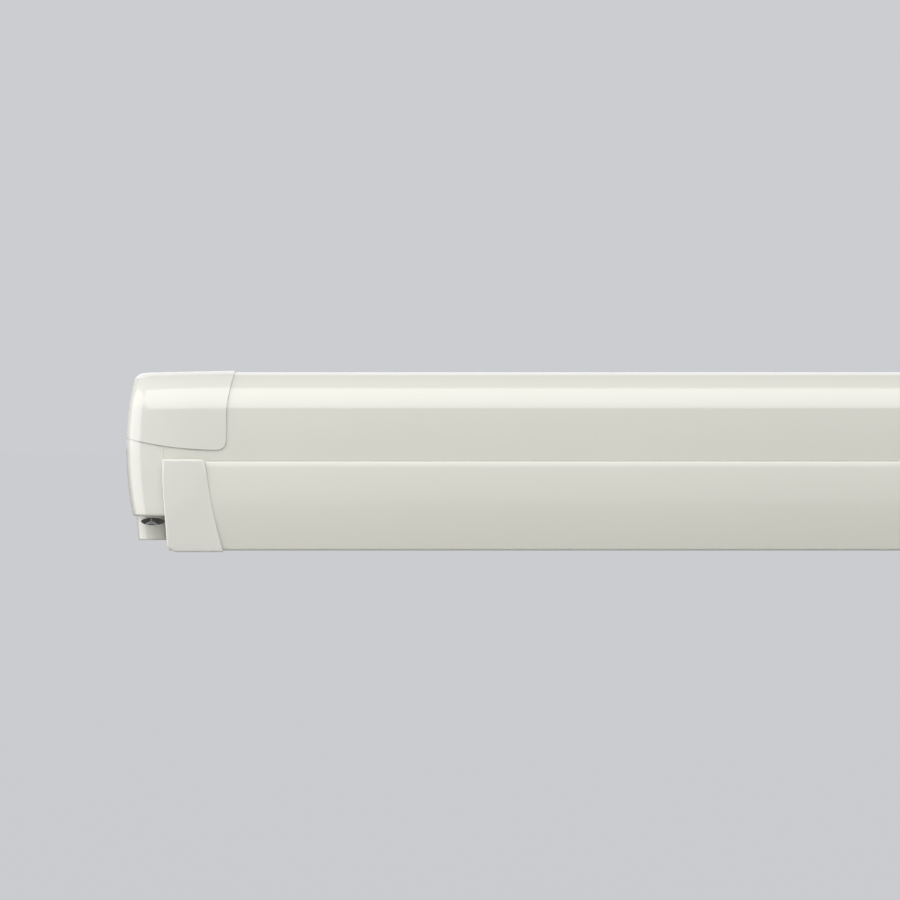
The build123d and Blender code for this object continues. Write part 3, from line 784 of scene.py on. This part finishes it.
def canopy():
    """The whole canvas as one sheet, from the tube to the bead."""
    axis = Vector(((ROLL_LOW.y + ROLL_HIGH.y) / 2, (ROLL_LOW.z + ROLL_HIGH.z) / 2))
    inner = (TUBE_HIGH.z - TUBE_LOW.z) / 2 + CANVAS_THICK
    outer = (ROLL_HIGH.z - ROLL_LOW.z) / 2 - CANVAS_THICK
    end = Vector((BEAD_HIGH.y + CANVAS_THICK, BEAD_HEIGHT))
    points = wound_path(inner, outer, axis, end)
    work = bmesh.new()
    rows = []
    for index, point in enumerate(points):
        ahead = points[min(index + 1, len(points) - 1)] - points[max(index - 1, 0)]
        rows.append(canvas_row(work, point, ahead))
    for a, b in zip(rows, rows[1:]):
        for one, two in ((0, 1), (1, 3), (3, 2), (2, 0)):
            work.faces.new((a[one], a[two], b[two], b[one]))
    first, last = rows[0], rows[-1]
    work.faces.new((first[0], first[2], first[3], first[1]))
    work.faces.new((last[0], last[1], last[3], last[2]))
    mesh = as_mesh("canopy", work)
    smooth_shaded(mesh, CANVAS_SMOOTH_ANGLE)
    piece = new_piece("canopy", mesh, "canvas")
    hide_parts("canvas_roll", "canopy_stretch")
    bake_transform(piece)


def repeat_tree(name, finish):
    """A node tree that sets copies of a small rod at every point of a row along X."""
    tree = bpy.data.node_groups.new(name, "GeometryNodeTree")
    for label in ("Start", "Step", "Rod"):
        tree.interface.new_socket(label, in_out="INPUT", socket_type="NodeSocketVector")
    tree.interface.new_socket("Count", in_out="INPUT", socket_type="NodeSocketInt")
    tree.interface.new_socket("Geometry", in_out="OUTPUT", socket_type="NodeSocketGeometry")
    nodes, links = tree.nodes, tree.links
    given = nodes.new("NodeGroupInput")
    row = nodes.new("GeometryNodeMeshLine")
    rod = nodes.new("GeometryNodeMeshUVSphere")
    rod.inputs["Segments"].default_value = ROD_SEGMENTS
    rod.inputs["Rings"].default_value = ROD_RINGS
    rod.inputs["Radius"].default_value = 1.0
    copies = nodes.new("GeometryNodeInstanceOnPoints")
    real = nodes.new("GeometryNodeRealizeInstances")
    paint = nodes.new("GeometryNodeSetMaterial")
    paint.inputs["Material"].default_value = finish
    out = nodes.new("NodeGroupOutput")
    links.new(given.outputs["Start"], row.inputs["Start Location"])
    links.new(given.outputs["Step"], row.inputs["Offset"])
    links.new(given.outputs["Count"], row.inputs["Count"])
    links.new(row.outputs[0], copies.inputs["Points"])
    links.new(rod.outputs[0], copies.inputs["Instance"])
    links.new(given.outputs["Rod"], copies.inputs["Scale"])
    links.new(copies.outputs[0], real.inputs[0])
    links.new(real.outputs[0], paint.inputs[0])
    links.new(paint.outputs[0], out.inputs[0])
    return tree


def repeated(name, slot, body, start, step, rod, count):
    """A row of like pieces, turned into one plain mesh."""
    carrier = placed(name + "_carrier", bpy.data.meshes.new(name + "_seed"))
    modifier = carrier.modifiers.new("row", "NODES")
    modifier.node_group = repeat_tree(name + "_tree", FINISHES[slot])
    wanted = {"Start": start, "Step": step, "Rod": rod, "Count": count}
    for item in modifier.node_group.interface.items_tree:
        if item.in_out == "INPUT":
            modifier[item.identifier] = wanted[item.name]
    mesh = evaluated_mesh(carrier)
    bpy.data.objects.remove(carrier)
    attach(new_piece(name, mesh, slot), body)


def hem_stitches():
    """The row of stitches that holds the canvas round its bead."""
    count = int((BEAD_HIGH.x - BEAD_LOW.x) / STITCH_PITCH) - 1
    start = (BEAD_LOW.x + STITCH_PITCH, BEAD_HIGH.y + STITCH_BACK, BEAD_HEIGHT + STITCH_RISE)
    repeated("hem_stitches", "canvas", "canopy", start, (STITCH_PITCH, 0, 0), STITCH_SIZE, count)


def bracket_screws():
    """The screw heads in the wall brackets' holes."""
    for mount in frame["record"]["mounts"]:
        if mount["kind"] != "bolt_pattern":
            continue
        x, y, z = mount["pos_m"]
        wide, tall = (mount["dims"][key] * MM for key in ("spacing_x_mm", "spacing_y_mm"))
        radius = mount["dims"]["hole_r_mm"] * MM * SCREW_FIT_SHARE
        head = (radius, radius * SCREW_HEIGHT_SHARE, radius)
        for level, word in ((-1, "low"), (1, "high")):
            start = (x - wide / 2, y, z + level * tall / 2)
            name = mount["name"] + "_screws_" + word
            repeated(name, "steel", "cassette", start, (wide, 0, 0), head, 2)


def dress_nodes():
    """Gives each CAD node its material; the pieces below take some nodes' places."""
    for node, obj in frame["nodes"].items():
        finished(obj, SLOTS[node])


def backdrop():
    """An even pale tone to look at, and a softer white light for the surfaces."""
    world = bpy.data.worlds.new("studio")
    bpy.context.scene.world = world
    world.use_nodes = True
    graph = Graph(world.node_tree)
    fill = graph.nodes["Background"]
    graph.feed(fill, "Color", WHITE)
    graph.feed(fill, "Strength", FILL)
    seen = graph.rays("Is Camera Ray", "Is Glossy Ray", "Is Transmission Ray")
    tone = graph.add("ShaderNodeBackground", {}, {"Color": BACKDROP})
    light = Socket(graph, fill.outputs[0])
    mixed = graph.add("ShaderNodeMixShader", {}, {0: seen, 1: light, 2: tone})
    graph.feed(graph.nodes["World Output"], "Surface", mixed)


def floor():
    """A wide pale floor that meets the backdrop in one tone and still takes a shadow."""
    bpy.ops.mesh.primitive_plane_add(size=FLOOR_SIZE, location=(0, 0, FLOOR_LEVEL))
    plane = bpy.context.object
    plane.name = "studio_floor"
    surface = Finish("pale_floor", Roughness=0.9)
    tone = surface.blend(surface.noise(scale=0.5), FLOOR_TONE, darker(FLOOR_TONE, share=0.97))
    surface.set("Base Color", tone)
    glow = surface.add("ShaderNodeEmission", {}, {"Color": BACKDROP, "Strength": FLOOR_GLOW})
    share = surface.rays("Is Camera Ray") * GLOW_SHARE
    lit = Socket(surface, surface.shader.outputs[0])
    mixed = surface.add("ShaderNodeMixShader", {}, {0: share, 1: lit, 2: glow})
    surface.feed(surface.nodes["Material Output"], "Surface", mixed)
    plane.data.materials.append(surface.material)


def lamp(name, place, aim, size, power):
    light = bpy.data.lights.new(name, "AREA")
    light.shape = "RECTANGLE"
    light.size, light.size_y = size
    light.energy = power
    obj = placed(name, light)
    obj.location = place
    obj.rotation_euler = (Vector(aim) - Vector(place)).to_track_quat("-Z", "Y").to_euler()
    obj.visible_camera = False


def studio():
    """A pale floor and backdrop, two banks over the front, one behind and one at the left end."""
    bpy.context.scene.view_settings.view_transform = "Standard"
    backdrop()
    floor()
    for settings in LAMPS:
        lamp(*settings)


def camera():
    data = bpy.data.cameras.new("photo_view")
    data.sensor_width = SENSOR
    data.lens = SENSOR * VIEW_DISTANCE / VIEW_WIDTH
    data.clip_end = VIEW_LIMIT
    obj = placed("photo_view", data)
    obj.location = VIEW_CENTRE + Vector((0, cad_box[0][1] - VIEW_DISTANCE, 0))
    obj.rotation_euler = (math.pi / 2, 0, 0)
    bpy.context.scene.camera = obj


dress_nodes()
caps()
hood()
rail()
canopy()
hem_stitches()
bracket_screws()
studio()
camera()
